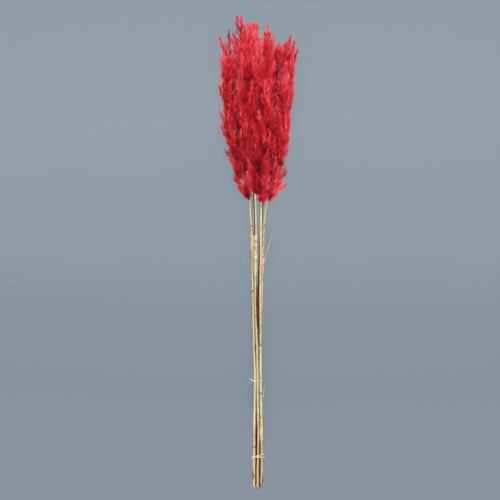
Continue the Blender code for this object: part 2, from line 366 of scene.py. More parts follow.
straw = Finish("dried_straw", {"Specular IOR Level": 0.22})
fibres = straw.noise(straw.place((1250.0, 13.0, 1250.0)), 1.0, 4.0)
threads = straw.noise(straw.place((2300.0, 22.0, 2300.0)), 1.0, 2.0)
blotches = straw.noise(straw.place((130.0, 34.0, 130.0)), 1.0, 3.0)
patches = straw.noise(straw.place((40.0, 9.0, 40.0)), 1.0, 2.0)
dye_and_shade_amount = straw.attribute("dye")
knot = straw.attribute("knot")
pith = straw.attribute("pith")
age = straw.attribute("age")
culm_colour = straw.blend(straw.band(fibres, 0.36, 0.62), (0.30, 0.222, 0.112), (0.61, 0.515, 0.302))
culm_colour = straw.blend(straw.band(threads, 0.56, 0.66) * 0.45, culm_colour, (0.215, 0.135, 0.060))
culm_colour = straw.blend(age * 0.6, culm_colour, (0.38, 0.275, 0.140))
culm_colour = straw.blend(straw.band(patches, 0.50, 0.70) * 0.55, culm_colour, (0.36, 0.235, 0.095))
culm_colour = straw.blend(straw.band(blotches, 0.60, 0.72) * 0.75, culm_colour, (0.150, 0.075, 0.035))
culm_colour = straw.blend(straw.band(knot, 0.25, 0.9) * 0.85, culm_colour, (0.135, 0.070, 0.030))
# Dye, and painted shade: dark red all over the two lower stalks and down the sides that face gaps between
# stems.
soaked_and_shaded = straw.band(dye_and_shade_amount + (blotches - 0.5) * 0.8 + (fibres - 0.5) * 0.3, 0.42, 0.62)
culm_dye_and_shade = straw.blend(blotches, (0.105, 0.004, 0.006), (0.040, 0.006, 0.006))
culm_colour = straw.blend(soaked_and_shaded * 0.98, culm_colour, culm_dye_and_shade)
culm_colour = straw.blend(pith, culm_colour, (0.60, 0.50, 0.30))
straw.feed("Base Color", culm_colour)
straw.feed("Roughness", 0.42 + straw.band(fibres, 0.3, 0.7) * 0.22)
ribs = straw.noise(straw.place((2600.0, 10.0, 2600.0)), 1.0, 1.0)
straw.feed("Normal", straw.bump(ribs * 1.3 + fibres * 1.2 + threads, 0.00022, 0.9))

for number, culm in culms.items():
    draw = np.random.default_rng(number)
    length = culm.y[-1] - culm.y[0]
    heights = np.linspace(culm.y[0], culm.y[-1], int(length / STEM_STEP))
    points = culm.at(heights)
    wobble = draw.uniform(0, 2 * math.pi, 2)
    points[:, 0] += SWAY_ACROSS * np.sin(heights * 42 + wobble[0])
    points[:, 2] += SWAY_UP * np.sin(heights * 51 + wobble[1])
    knots = culm.y[0] + FIRST_KNOT + KNOT_SPACING * (np.arange(KNOTS) + draw.uniform(0.0, 0.6, KNOTS))
    above_knot = heights[:, None] - knots[None]
    near = np.exp(-(above_knot / KNOT_LENGTH) ** 2).max(axis=1)
    above = np.exp(-((above_knot - WAIST_ABOVE_KNOT) / WAIST_LENGTH) ** 2).max(axis=1)
    radii = culm.radius_at(heights) * (1 + 0.13 * near - 0.05 * above)
    soaking_and_shade, weathered, shade_runs = CULM_STATES[number]
    waves = 0.20 * np.sin(heights * 47 + wobble[0]) + 0.12 * np.sin(heights * 19 + wobble[1])
    dipped = 0.25 * np.exp(-(heights - culm.y[0]) / 0.008)
    soak_and_shade = np.clip(soaking_and_shade + waves + dipped, 0, 1)
    bm = bmesh.new()
    layers = {name: bm.verts.layers.float.new(name) for name in ("dye", "knot", "pith", "age")}
    rings = sweep(bm, [tuple(point) for point in points], radii, STEM_SIDES)
    for ring, point, mark, dyed_and_shaded in zip(rings, points, near, soak_and_shade):
        for corner in ring:
            heading = math.atan2(corner.co.z - point[2], corner.co.x - point[0])
            dye_and_run_shade = dyed_and_shaded
            # Painted shade: a dark red stripe down one side of the culm, mostly where it faces a gap between
            # stems.
            for middle, half, side in shade_runs:
                facing = min(max(0.0, math.cos(heading - side) + 0.10), 1.0)
                dye_and_run_shade = max(dye_and_run_shade, 1.1 * facing * math.exp(-(((point[1] - middle) / half) ** 2)))
            corner[layers["dye"]] = dye_and_run_shade
            corner[layers["knot"]] = mark
            corner[layers["age"]] = weathered
    cut = [face for face in rings[0][0].link_faces if len(face.verts) == STEM_SIDES]
    bmesh.ops.inset_region(bm, faces=cut, thickness=PITH_RIM, depth=-PITH_HOLLOW, use_even_offset=True)
    for face in cut:
        for corner in face.verts:
            corner[layers["pith"]] = 1.0
            corner[layers["dye"]] = 0.2 * corner[layers["dye"]]
    stem = own_object(f"stem_{number}_straw", finish_mesh(bm, f"stem_{number}_straw"), straw)
    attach(stem, "root")
    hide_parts(f"stem_{number}")


# Leaf sheaths. The lower part of each leaf wraps the culm as a papery tube, split down one side. It
# dried to a mottled brown, its seam gapes a little, and its upper end is torn where the blade was.

SHEATH_THICKNESS = 0.00022
SHEATH_STEPS = 34
SHEATH_SIDES = 16
SHEATH_SLACK = 0.0004
SHEATH_OVERLAP = 0.5  # radians by which the two edges pass each other
OVERLAP_LIFT = 0.00018
FLAP_SHARE = 0.28  # how much of the way round the free edge lifts
TORN_RINGS, TORN_REACH = 8, 0.0045
FOOT_RINGS, FOOT_REACH = 3, 0.0012
# For each stalk's sheath: the angle that its edge lies at, in degrees from the right; how wide the seam
# gapes, in radians; how far the middle bulges; and how far the free edge stands off the culm.
SHEATH_SHAPES = {
    1: (-5, 0.7, 0.0007, 0.0042),
    2: (30, 0.35, 0.0001, 0.0),
    3: (175, 0.6, 0.0006, 0.0016),
    4: (110, 0.45, 0.0002, 0.0006),
    5: (200, 0.4, 0.0001, 0.0),
    6: (75, 0.6, 0.0003, 0.0008),
}

husk = Finish("papery_husk", {"Specular IOR Level": 0.25})
veins = husk.noise(husk.place((900.0, 16.0, 900.0)), 1.0, 3.0)
spots = husk.noise(husk.place((300.0, 170.0, 300.0)), 1.0, 3.0)
fade = husk.noise(husk.place((70.0, 26.0, 70.0)), 1.0, 2.0)
husk_colour = husk.blend(husk.band(veins, 0.34, 0.64), (0.35, 0.255, 0.130), (0.66, 0.56, 0.340))
flecks = husk.noise(husk.place((760.0, 430.0, 760.0)), 1.0, 2.0)
husk_colour = husk.blend(husk.band(spots, 0.50, 0.64) * 0.80, husk_colour, (0.235, 0.150, 0.070))
husk_colour = husk.blend(husk.band(flecks, 0.54, 0.62) * 0.75, husk_colour, (0.140, 0.070, 0.032))
husk_colour = husk.blend(husk.band(fade, 0.55, 0.72) * 0.5, husk_colour, (0.120, 0.040, 0.025))
husk_colour = husk.blend(husk.attribute("torn") * 0.7, husk_colour, (0.30, 0.17, 0.07))
# Dye from the stalk, and painted shade on the sheaths of the two lower stalks, which are painted dark red
# all over.
husk_dye_and_shade = husk.band(husk.attribute("dye") + (fade - 0.5) * 0.8, 0.42, 0.62)
husk_colour = husk.blend(husk_dye_and_shade * 0.95, husk_colour, (0.100, 0.006, 0.008))
husk.feed("Base Color", husk_colour)
husk.feed("Roughness", 0.60 + husk.band(spots, 0.4, 0.7) * 0.22)
husk.feed("Normal", husk.bump(veins * 1.4 + spots * 0.6, 0.00025, 0.8))


def give_wall(piece, thickness, offset):
    """A real thickness for a piece that is modelled as a bare surface."""
    wall = piece.modifiers.new("wall", "SOLIDIFY")
    wall.thickness = thickness
    wall.offset = offset


for number, culm in culms.items():
    draw = np.random.default_rng(20 + number)
    low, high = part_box(f"sheath_{number}")
    heights = np.linspace(low.y + 0.001, high.y - 0.001, SHEATH_STEPS)
    middle = culm.at(heights)
    along = np.linspace(0, 1, SHEATH_STEPS)
    seam, gape, bulge, flap = SHEATH_SHAPES[number]
    bm = bmesh.new()
    torn = bm.verts.layers.float.new("torn")
    dyed_and_shaded = bm.verts.layers.float.new("dye")
    grid = bmesh.ops.create_grid(bm, x_segments=SHEATH_SIDES, y_segments=SHEATH_STEPS - 1, size=0.5)["verts"]
    phase = draw.uniform(0, 6, 4)
    for corner in grid:
        step = round((corner.co.y + 0.5) * (SHEATH_STEPS - 1))
        across = corner.co.x + 0.5
        open_here = gape * math.sin(math.pi * min(along[step] * 0.9 + 0.1, 1.0)) ** 2
        turn = math.radians(seam) + open_here / 2 + (2 * math.pi + SHEATH_OVERLAP - open_here) * across
        swell = math.sin(math.pi * along[step])
        slack = SHEATH_SLACK + bulge * swell**1.5 + OVERLAP_LIFT * across
        slack += flap * max(0.0, 1 - across / FLAP_SHARE) ** 1.4 * swell**0.8
        ripple = 0.00008 * math.sin(3 * turn + phase[0] + 9 * along[step])
        ripple += 0.00010 * math.sin(5 * turn + phase[3] + 23 * along[step])
        reach = culm.radius_at(heights[step]) + slack + ripple
        frill = 0.0
        into_tear = step - SHEATH_STEPS + TORN_RINGS
        if into_tear > 0:
            frill = TORN_REACH * math.sin(5 * across * math.pi + phase[1]) * (into_tear / (TORN_RINGS - 1))
        elif step < FOOT_RINGS:
            above_foot = (FOOT_RINGS - step) / FOOT_RINGS
            frill = FOOT_REACH * math.sin(4 * across * math.pi + phase[2]) * above_foot
        corner[torn] = max(0.0, (along[step] - 0.9) * 10) + max(0.0, (0.04 - along[step]) * 18)
        # The stalk's dye, with the painted shade of stalks 2 and 5.
        corner[dyed_and_shaded] = CULM_STATES[number][0]
        x, y, z = middle[step]
        corner.co = (x + reach * math.cos(turn), y + frill, z + reach * math.sin(turn))
    sheath = own_object(f"sheath_{number}_husk", finish_mesh(bm, f"sheath_{number}_husk", 60), husk)
    give_wall(sheath, SHEATH_THICKNESS, 1.0)
    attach(sheath, "root")
    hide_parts(f"sheath_{number}")


# Dry leaves. What is left of two leaf blades: narrow strips that folded along the midrib and twisted as
# they dried. One stands off the right-hand stem below the plumes, the other lies below the upper tie.

LEAF_THICKNESS = 0.00018
LEAF_FOLD = 0.8
LEAF_TIP = 0.00008

blade = Finish("dry_blade", {"Specular IOR Level": 0.3})
grain = blade.noise(blade.place((1100.0, 60.0, 1100.0)), 1.0, 3.0)
blade_colour = blade.blend(blade.band(grain, 0.35, 0.65), (0.36, 0.24, 0.10), (0.60, 0.46, 0.23))
blade.feed("Base Color", blade_colour)
blade.feed("Roughness", 0.55 + grain * 0.2)
blade.feed("Normal", blade.bump(grain, 0.0002, 0.6))


def leaf_strip(node, half_width, steps, twist):
    """A strip along the CAD leaf's own line, folded into a shallow V and turned along its length."""
    centres = rings_of(node)[1]
    heights = np.linspace(centres[0, 1], centres[-1, 1], steps + 1)
    line = np.stack([glide(centres[:, 1], centres[:, axis], heights) for axis in range(3)], axis=-1)
    bm = bmesh.new()
    grid = bmesh.ops.create_grid(bm, x_segments=4, y_segments=steps, size=0.5)["verts"]
    for corner in grid:
        step = round((corner.co.y + 0.5) * steps)
        share = step / steps
        outline = (0.55 + 0.45 * math.sin(math.pi * min(share * 1.6, 1.0))) * (1 - share**3)
        side = 2 * corner.co.x * (half_width * outline + LEAF_TIP)
        local = Vector((side, abs(side) * LEAF_FOLD, 0))
        heading = Vector(line[min(step + 1, steps)] - line[max(step - 1, 0)])
        turn = heading.to_track_quat("Z", "Y") @ Matrix.Rotation(0.4 + twist * share, 3, "Z").to_quaternion()
        corner.co = Vector(line[step]) + turn @ local
    name = f"{node}_blade"
    leaf = own_object(name, finish_mesh(bm, name, 60), blade)
    give_wall(leaf, LEAF_THICKNESS, 0.0)
    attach(leaf, "root")
    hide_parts(node)


leaf_strip("dry_leaf_1", 0.00062, 40, 5.0)
leaf_strip("dry_leaf_2", 0.00085, 20, 2.5)


# Flakes. Thin scraps of old sheath that stayed on four of the culms when the rest of it was stripped off.
# Each still clings by its lower end, and curls away from the culm towards its torn upper end.

# For each flake: its stalk, the y of the end that is fixed, the angle round the culm in degrees from the
# right, its length, its half-width and how far its free end stands off.
FLAKES = (
    (1, -0.1080, 170, 0.0150, 0.0011, 0.0014),
    (1, -0.1340, 160, 0.0200, 0.0012, 0.0010),
    (1, -0.1800, 175, 0.0085, 0.0010, 0.0022),
    (1, -0.2770, 165, 0.0095, 0.0011, 0.0014),
    (1, -0.3650, 170, 0.0160, 0.0010, 0.0012),
    (1, -0.3480, 150, 0.0110, 0.0012, 0.0009),
    (3, -0.1700, 60, 0.0240, 0.0011, 0.0008),
    (3, -0.2600, 110, 0.0300, 0.0010, 0.0007),
    (4, -0.0245, 10, 0.0040, 0.0008, 0.0022),
    (4, -0.2550, 20, 0.0120, 0.0010, 0.0010),
    (4, -0.1400, 95, 0.0260, 0.0009, 0.0006),
    (4, -0.3600, 15, 0.0120, 0.0010, 0.0012),
    (6, -0.0300, 30, 0.0120, 0.0010, 0.0014),
)
FLAKE_STEPS = 7
FLAKE_LIFT = 0.0002
FLAKE_TEAR = 0.0012
FLAKE_WEAR = 0.35

flakes_of = {number: bmesh.new() for number in sorted({flake[0] for flake in FLAKES})}
for number, start, angle, length, half, stand in FLAKES:
    bm, culm = flakes_of[number], culms[number]
    grid = bmesh.ops.create_grid(bm, x_segments=4, y_segments=FLAKE_STEPS, size=0.5)["verts"]
    for corner in grid:
        share = corner.co.y + 0.5
        x, y, z = culm.at(start + length * share)
        narrow = half * (1 - 0.75 * share**3) * min(1.0, 0.6 + 2 * share)
        reach = float(culm.radius_at(y)) + FLAKE_LIFT + stand * share**2.2
        turn = math.radians(angle) + 2 * corner.co.x * narrow / reach * (1 + 0.5 * share)
        curl = 0.5 * stand * share**2 * (2 * corner.co.x) ** 2
        y += FLAKE_TEAR * math.sin(9 * corner.co.x + angle) * max(0.0, share - 0.6)
        corner.co = (x + (reach + curl) * math.cos(turn), y, z + (reach + curl) * math.sin(turn))
for number, bm in flakes_of.items():
    name = f"stem_{number}_flakes"
    torn = bm.verts.layers.float.new("torn")
    for corner in bm.verts:
        corner[torn] = FLAKE_WEAR
    scraps = own_object(name, finish_mesh(bm, name, 60), husk)
    give_wall(scraps, LEAF_THICKNESS, 0.0)
    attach(scraps, "root")


# Plumes. Each is a stalk with some sixty thin side branches, and each branch is dressed with tufts of
# silky hairs dyed red. The hairs lie forward, so a branch looks like a flame with a pointed end. The
# dye is deepest at the foot of a plume and pink at its tips. The silk is also painted darker, as shade,
# at the roots of the hairs and deep inside each plume, and darkest where the feet of the plumes meet.

LOOSE_TUFTS, LOOSENESS = 5, 0.42
TIGHT_TUFTS, TIGHTNESS = 3, 0.15
BENT_HAIRS = 9
STRAIGHT_HAIRS = 28
HAIR_LENGTH = 0.0112
HAIR_WIDTH = 0.00025
HAIR_SCATTER = 0.0012
MOST_LEAN = 0.9
TUFTS_ON_BRANCH = 40
BRANCHES = 62
BRANCH_GIRTH = 0.0052
BRANCH_RADIUS = 0.00022
BRANCH_STEPS = 9
BRANCH_END = 0.97  # the thin stalk stops a little short of its branch's tip
BRANCH_SWAY = 0.0035
LEAF_TURN = 2.39996  # radians round the stalk from one branch to the next
HIGHEST_ROOT = 0.84  # the share of the plume's length at which the last branch leaves the stalk
LEAST_RISE = 0.012
CROWN_DROP = 0.012
FLARE = 0.36
SECTION_CORNERS = 14  # a level of a CAD plume with this many corners or more is a whole section of it
SECTION_SLACK = 0.00002
SECTION_FOOT, SECTION_TOP = 0.008, 0.022  # how far within a CAD plume's ends its sections are read
SPIRE_LENGTH = 0.048
HAIR_REACH = 0.006  # how far the silk stands beyond the end of its branch
FLOOR_CLEARANCE = 0.0003
# How far below the CAD plume's end the lowest branches leave each stalk, and where the branches end.
FEET = {1: 0.007, 2: 0.012, 3: 0.009, 4: 0.006, 5: 0.012, 6: -0.006}
CROWNS = {1: 0.331, 2: 0.345, 3: 0.3615, 4: 0.343, 5: 0.319, 6: 0.328}
# How far each plume grows into the ones beside it. The right-hand one stands apart at its top.
INNER_REACH = {1: 1.9, 2: 1.9, 3: 1.75, 4: 1.85, 5: 1.9, 6: 1.5}
# The height at which the lower layer of plumes meets the upper one, and how far they mingle there.
LAYER_SPLIT_Z = 0.0335
LAYER_MINGLING = 0.006
# The x and y of the pointed ends that stand out of each plume, at its top and down its sides.
SPIRES = {
    1: (
        (-0.0584, 0.3390), (-0.0454, 0.3490), (-0.0595, 0.2620), (-0.0580, 0.2230),
        (-0.0560, 0.1990), (-0.0480, 0.1595), (-0.0355, 0.1195), (-0.0325, 0.3020), (-0.0325, 0.2350),
    ),
    2: ((-0.0322, 0.3722), (-0.0262, 0.3726), (-0.0375, 0.3440), (-0.0395, 0.3360)),
    3: (
        (-0.0005, 0.3565), (-0.0205, 0.3545), (-0.0165, 0.3575), (-0.0120, 0.3590), (-0.0070, 0.3585),
        (-0.0140, 0.3540), (-0.0095, 0.3555), (-0.0035, 0.3560),
    ),
    4: ((0.0158, 0.3545), (0.0120, 0.3450), (0.0190, 0.3430)),
    5: (
        (0.0356, 0.3290), (0.0290, 0.3220), (0.0290, 0.2720), (0.0282, 0.2440), (0.0272, 0.2150),
        (0.0260, 0.1900), (0.0325, 0.3275), (0.0395, 0.3270),
    ),
    6: (
        (0.0506, 0.3410), (0.0580, 0.3330), (0.0618, 0.3190), (0.0560, 0.2880),
        (0.0555, 0.2550), (0.0500, 0.2040), (0.0435, 0.1280), (0.0420, 0.1080), (0.0335, 0.2660),
        (0.0320, 0.2360), (0.0435, 0.3310),
    ),
}
# Where the outer side of a plume is thin: its y, its half-length and how much is missing.
HOLLOWS = {6: (0.229, 0.026, 0.42)}
TONE_WIDTH = 0.004  # how far the tone changes from the middle of a hair to its edge
DEEPEST_Y, PALEST_RISE = 0.090, 0.26  # where the dye is deepest, and how far above it the dye is palest
CLUMPS_PER_METRE, DRIFTS_PER_METRE = 240, 60
USUAL_TONE = 0.396
# How much paler than usual the dye is on each plume, and on the pointed ends.
PALENESS = {1: 0.01, 2: -0.02, 3: 0.03, 4: 0.05, 5: -0.16, 6: 0.07}
SPIRE_PALENESS = -0.05
# Where the silk is darker or paler than elsewhere: the x and y of the spot's middle, its two half-widths
# and how much paler it is. The first is painted shade where the feet of the plumes meet, and the silk is
# darkest there.
SHADE_AND_TONE_SPOTS = (
    (0.002, 0.153, 0.020, 0.044, -0.19),
    (-0.014, 0.316, 0.022, 0.026, 0.12),
    (0.027, 0.102, 0.015, 0.022, 0.34),
    (-0.019, 0.100, 0.009, 0.016, 0.42),
    (-0.031, 0.128, 0.007, 0.012, 0.12),
    (-0.044, 0.335, 0.010, 0.012, -0.10),
    (-0.046, 0.180, 0.008, 0.026, -0.09),
    (0.046, 0.262, 0.011, 0.042, 0.09),
    (0.007, 0.280, 0.008, 0.018, 0.09),
    (-0.008, 0.250, 0.010, 0.022, -0.10),
    (0.0255, 0.265, 0.0035, 0.045, -0.17),
    (-0.034, 0.297, 0.011, 0.024, 0.08),
    (0.038, 0.316, 0.010, 0.020, 0.17),
)


def one_tuft(seed, looseness):
    """Hairs that fan out from one point along +Z: narrow strips, some of them bent, that end in a point."""
    draw = np.random.default_rng(seed)
    bm = bmesh.new()
    along = bm.verts.layers.float.new("along")
    across = bm.verts.layers.float.new("across")
    for hair in range(BENT_HAIRS + STRAIGHT_HAIRS):
        bent = hair < BENT_HAIRS
        strip = bmesh.ops.create_grid(bm, x_segments=1, y_segments=2 if bent else 1, size=0.5)["verts"]
        for corner in strip:
            corner[along] = corner.co.y + 0.5
            corner[across] = 2 * corner.co.x
        length = HAIR_LENGTH * draw.uniform(0.5, 1.1)
        size = Matrix.Diagonal((HAIR_WIDTH, length, 1.0, 1.0)) @ Matrix.Translation((0, 0.5, 0))
        bmesh.ops.transform(bm, matrix=size, verts=strip)
        tip = [corner for corner in strip if corner[along] > 0.9]
        if bent:
            bend = Matrix.Rotation(draw.uniform(-0.6, 0.6), 3, "X")
            bmesh.ops.rotate(bm, cent=(0, length / 2, 0), matrix=bend, verts=tip)
        tip_point = sum((corner.co for corner in tip), Vector()) / 2
        lean = min(abs(draw.normal(0, looseness)), MOST_LEAN)
        turn = (
            Matrix.Rotation(draw.uniform(0, 2 * math.pi), 4, "Z")
            @ Matrix.Rotation(math.pi / 2 - lean, 4, "X")
            @ Matrix.Rotation(draw.uniform(0, 2 * math.pi), 4, "Y")
        )
        root = Matrix.Translation((0, 0, draw.uniform(-HAIR_SCATTER, HAIR_SCATTER)))
        bmesh.ops.pointmerge(bm, verts=tip, merge_co=tip_point)
        strip = [corner for corner in strip if corner.is_valid]
        bmesh.ops.transform(bm, matrix=root @ turn, verts=strip)
    bm.verts.index_update()
    tuft = {
        "points": np.array([corner.co for corner in bm.verts]),
        "along": np.array([corner[along] for corner in bm.verts]),
        "across": np.array([corner[across] for corner in bm.verts]),
        "loops": np.array([loop.vert.index for face in bm.faces for loop in face.loops]),
        "sizes": np.array([len(face.loops) for face in bm.faces]),
    }
    bm.free()
    return tuft


tufts = [one_tuft(seed, LOOSENESS) for seed in range(LOOSE_TUFTS)]
tufts += [one_tuft(20 + seed, TIGHTNESS) for seed in range(TIGHT_TUFTS)]


def frames_along(directions, rolls):
    """Turning matrices that carry +Z on to each direction, each rolled about it."""
    forward = directions / np.linalg.norm(directions, axis=1, keepdims=True)
    helper = np.where(abs(forward[:, 2:3]) > 0.9, (1.0, 0.0, 0.0), (0.0, 0.0, 1.0))
    side = np.cross(helper, forward)
    side /= np.linalg.norm(side, axis=1, keepdims=True)
    up = np.cross(forward, side)
    cos, sin = np.cos(rolls)[:, None], np.sin(rolls)[:, None]
    return np.stack([side * cos + up * sin, up * cos - side * sin, forward], axis=2)


def stamp(name, kinds, places, frames, sizes, tones, starts, spans):
    """One mesh of many copies of the tufts, with a map of tone across and of root to tip up; the up
    coordinate also carries the painted shade deep inside the plume.
    """
    points, loops, faces, across, up = [], [], [], [], []
    first = 0
    for kind, tuft in enumerate(tufts):
        pick = np.nonzero(kinds == kind)[0]
        scaled = tuft["points"][None] * sizes[pick, None, None]
        placed = np.einsum("nij,nkj->nki", frames[pick], scaled) + places[pick, None]
        count = len(tuft["points"])
        points.append(placed.reshape(-1, 3))
        loops.append((tuft["loops"][None] + first + count * np.arange(len(pick))[:, None]).ravel())
        faces.append(np.tile(tuft["sizes"], len(pick)))
        across.append((tones[pick, None] + TONE_WIDTH * tuft["across"][None]).ravel())
        up.append((starts[pick, None] + spans[pick, None] * tuft["along"][None]).ravel())
        first += count * len(pick)
    points = np.concatenate(points)
    loops = np.concatenate(loops)
    faces = np.concatenate(faces)
    points[:, 2] = np.maximum(points[:, 2], FLOOR_CLEARANCE)
    map_points = np.stack([np.concatenate(across), np.concatenate(up)], axis=1)[loops]
    mesh = bpy.data.meshes.new(name)
    mesh.vertices.add(len(points))
    mesh.vertices.foreach_set("co", points.astype(np.float32).ravel())
    mesh.loops.add(len(loops))
    mesh.loops.foreach_set("vertex_index", loops.astype(np.int32))
    mesh.polygons.add(len(faces))
    mesh.polygons.foreach_set("loop_start", (np.cumsum(faces) - faces).astype(np.int32))
    mesh.update(calc_edges=True)
    layer = mesh.uv_layers.new(name="OFBake")
    layer.data.foreach_set("uv", np.clip(map_points, 0.002, 0.998).astype(np.float32).ravel())
    return mesh


silk = Finish("dyed_silk", {
    "Roughness": 0.62,
    "Specular IOR Level": 0.15,
    "Sheen Weight": 0.05,
    "Sheen Roughness": 0.45,
    "Sheen Tint": (1.0, 0.55, 0.58, 1.0),
})
silk_map = silk.node("ShaderNodeUVMap", {"uv_map": "OFBake"}, {})
tone = silk.node("ShaderNodeSeparateXYZ", {}, {0: silk_map}, "X")
reach = silk.node("ShaderNodeSeparateXYZ", {}, {0: silk_map}, "Y")
# The silk's colour: across the map, the tuft's tone; up it, from painted shade at the hair roots and inside
# the plume to pink outer tips.
dye = silk.ramp(
    reach * 0.60 + (tone - 0.5) * 0.95 + 0.20,
    [
        (0.00, (0.050, 0.001, 0.002)),
        (0.20, (0.270, 0.002, 0.006)),
        (0.42, (0.640, 0.010, 0.024)),
        (0.64, (0.790, 0.050, 0.076)),
        (0.84, (0.780, 0.150, 0.175)),
        (1.00, (0.780, 0.290, 0.250)),
    ],
)
silk.feed("Base Color", dye)

twig = Finish("dyed_branch", {"Roughness": 0.7, "Specular IOR Level": 0.3})
twig_grain = twig.noise(twig.place((900.0, 200.0, 900.0)), 1.0, 2.0)
twig.feed("Base Color", twig.blend(twig_grain, (0.20, 0.012, 0.014), (0.48, 0.10, 0.055)))


def on_branch(branches, t):
    """Points on bowed side branches: t runs from 0 at the stalk to 1 at the branch's tip."""
    t = t[..., None]
    root, elbow, tip = (branches[name][:, None] for name in ("root", "elbow", "tip"))
    return (1 - t) ** 2 * root + 2 * t * (1 - t) * elbow + t * t * tip


class Plume:
    """The room that a plume has round its stalk, measured on its CAD node."""

    def __init__(self, number):
        self.number = number
        self.culm = Culm(f"stem_{number}")
        points = corners_of(f"plume_{number}")
        levels, counts = np.unique(points[:, 1].round(5), return_counts=True)
        levels = levels[counts >= SECTION_CORNERS]
        sections = [points[abs(points[:, 1] - level) < SECTION_SLACK] for level in levels]
        self.y = levels
        self.low = np.array([section.min(axis=0) for section in sections])
        self.high = np.array([section.max(axis=0) for section in sections])
        self.base = levels[0]
        self.tip = levels[-1]


def room_at(plume, y):
    """The two corners (x, z) of the CAD plume's section at y."""
    held = np.clip(y, plume.base + SECTION_FOOT, plume.tip - SECTION_TOP)
    low = [np.interp(held, plume.y, plume.low[:, axis]) for axis in (0, 2)]
    high = [np.interp(held, plume.y, plume.high[:, axis]) for axis in (0, 2)]
    return np.stack(low, axis=-1), np.stack(high, axis=-1)


def flare_of(plume, outward, inner, share, tip_y, draw):
    """How far branches reach towards, or past, the sides of the room that the CAD plume gives them."""
    flare = 1 + FLARE * draw.uniform(0.0, 1.0, BRANCHES) ** 2
    sideways = abs(outward[:, 0])
    mingling = (INNER_REACH[plume.number] - 1) * sideways * (0.15 + 0.85 * np.minimum(share * 1.6, 1))
    flare *= np.where(inner, 1 + mingling, 1.0)
    if plume.number in HOLLOWS:
        hollow_y, half, missing = HOLLOWS[plume.number]
        thin = missing * np.exp(-(((tip_y - hollow_y) / half) ** 2)) * sideways
        flare *= np.where(inner, 1.0, 1 - thin)
    return flare


def side_branches(plume, foot, draw):
    """The branches all the way up the stalk: each one's root, tip, spread and share of the way up."""
    crown = CROWNS[plume.number] - HAIR_REACH
    order = np.arange(BRANCHES)
    share = (order + draw.uniform(0, 1, BRANCHES)) / BRANCHES
    root_y = foot + HIGHEST_ROOT * (crown - foot) * share
    length = 0.026 + 0.032 * np.minimum(share * 4, 1.0) - 0.018 * share
    length *= draw.uniform(0.8, 1.25, BRANCHES)
    turn = order * LEAF_TURN + draw.uniform(-0.5, 0.5, BRANCHES)
    spread = np.sqrt(draw.uniform(0.12, 1.0, BRANCHES))
    tip_y = np.minimum(root_y + length, crown - CROWN_DROP * spread**3 * draw.uniform(0.0, 1.0, BRANCHES))
    low, high = room_at(plume, tip_y)
    middle = (low + high) / 2
    outward = np.stack([np.cos(turn), np.sin(turn)], axis=-1)
    flare = flare_of(plume, outward, outward[:, 0] * middle[:, 0] < 0, share, tip_y, draw)
    across = middle + outward * (high - low) / 2 * (spread * flare)[:, None]
    to_other_layer = outward[:, 1] * np.sign(LAYER_SPLIT_Z - middle[:, 1])
    across[:, 1] += outward[:, 1] * LAYER_MINGLING * np.maximum(to_other_layer, 0)
    root = plume.culm.at(np.minimum(root_y, plume.culm.y[-1]))
    root[:, 1] = np.minimum(root_y, tip_y - LEAST_RISE)
    tip = np.stack([across[:, 0], tip_y, across[:, 1]], axis=-1)
    return root, tip, spread, share


def grow_branches(plume, draw):
    """The side branches of a plume, then the few whose tips stand out of it as spires."""
    foot = plume.base - FEET[plume.number]
    root, tip, spread, share = side_branches(plume, foot, draw)
    girth = (0.35 + 0.65 * np.minimum(share * 5, 1.0)) * (1 + 0.35 * np.clip(share * 4 - 3, 0, 1))

    spires = np.array(SPIRES[plume.number])
    extra = len(spires)
    spire_y = spires[:, 1] - HAIR_REACH
    top_z = room_at(plume, spire_y)[1][:, 1]
    spire_tip = np.stack([spires[:, 0], spire_y, draw.uniform(0.45, 0.8, extra) * top_z], axis=-1)
    spire_root = plume.culm.at(np.clip(spire_y - SPIRE_LENGTH, foot, plume.culm.y[-1]))
    root = np.concatenate([root, spire_root])
    tip = np.concatenate([tip, spire_tip])
    count = BRANCHES + extra
    sway = draw.uniform(-BRANCH_SWAY, BRANCH_SWAY, (count, 3)) * (1, 0, 1)
    bowed = np.append(np.minimum(share * 3.5, 1.0), np.ones(extra))[:, None]  # the lowest are straight
    elbow = root + (tip - root) * ((0.50, 0.50, 0.50) + bowed * (0.22, -0.14, 0.22)) + sway
    elbow[BRANCHES:] = spire_root + (spire_tip - spire_root) * (0.60, 0.62, 0.60)
    paleness = np.append(np.full(BRANCHES, PALENESS[plume.number]), np.full(extra, SPIRE_PALENESS))
    return {
        "root": root,
        "elbow": elbow,
        "tip": tip,
        "spread": np.append(spread, np.full(extra, 0.9)),
        "tone": draw.normal(0.0, 0.08, count) + paleness,
        "girth": BRANCH_GIRTH * draw.uniform(0.75, 1.3, count) * np.append(girth, np.full(extra, 0.55)),
    }


def tones_of(branches, here, height, draw):
    """How pale the silk is on each tuft: by its branch, by clumps and drifts, and by the spots, the first of
    which is painted shade.
    """
    clumps = np.array([noise.noise(Vector(place) * CLUMPS_PER_METRE) for place in here])
    drifts = np.array([noise.noise(Vector(place) * DRIFTS_PER_METRE) for place in here])
    tones = np.repeat(branches["tone"], TUFTS_ON_BRANCH)
    tones += (0.46 - 0.32 * height) * clumps + (0.26 - 0.12 * height) * drifts
    tones += USUAL_TONE + 0.07 * height + draw.normal(0, 0.05, len(here))
    for x, y, width, depth, paler in SHADE_AND_TONE_SPOTS:
        tones += paler * np.exp(-(((here[:, 0] - x) / width) ** 2) - ((here[:, 1] - y) / depth) ** 2)
    return np.clip(tones, 0.02, 0.98)


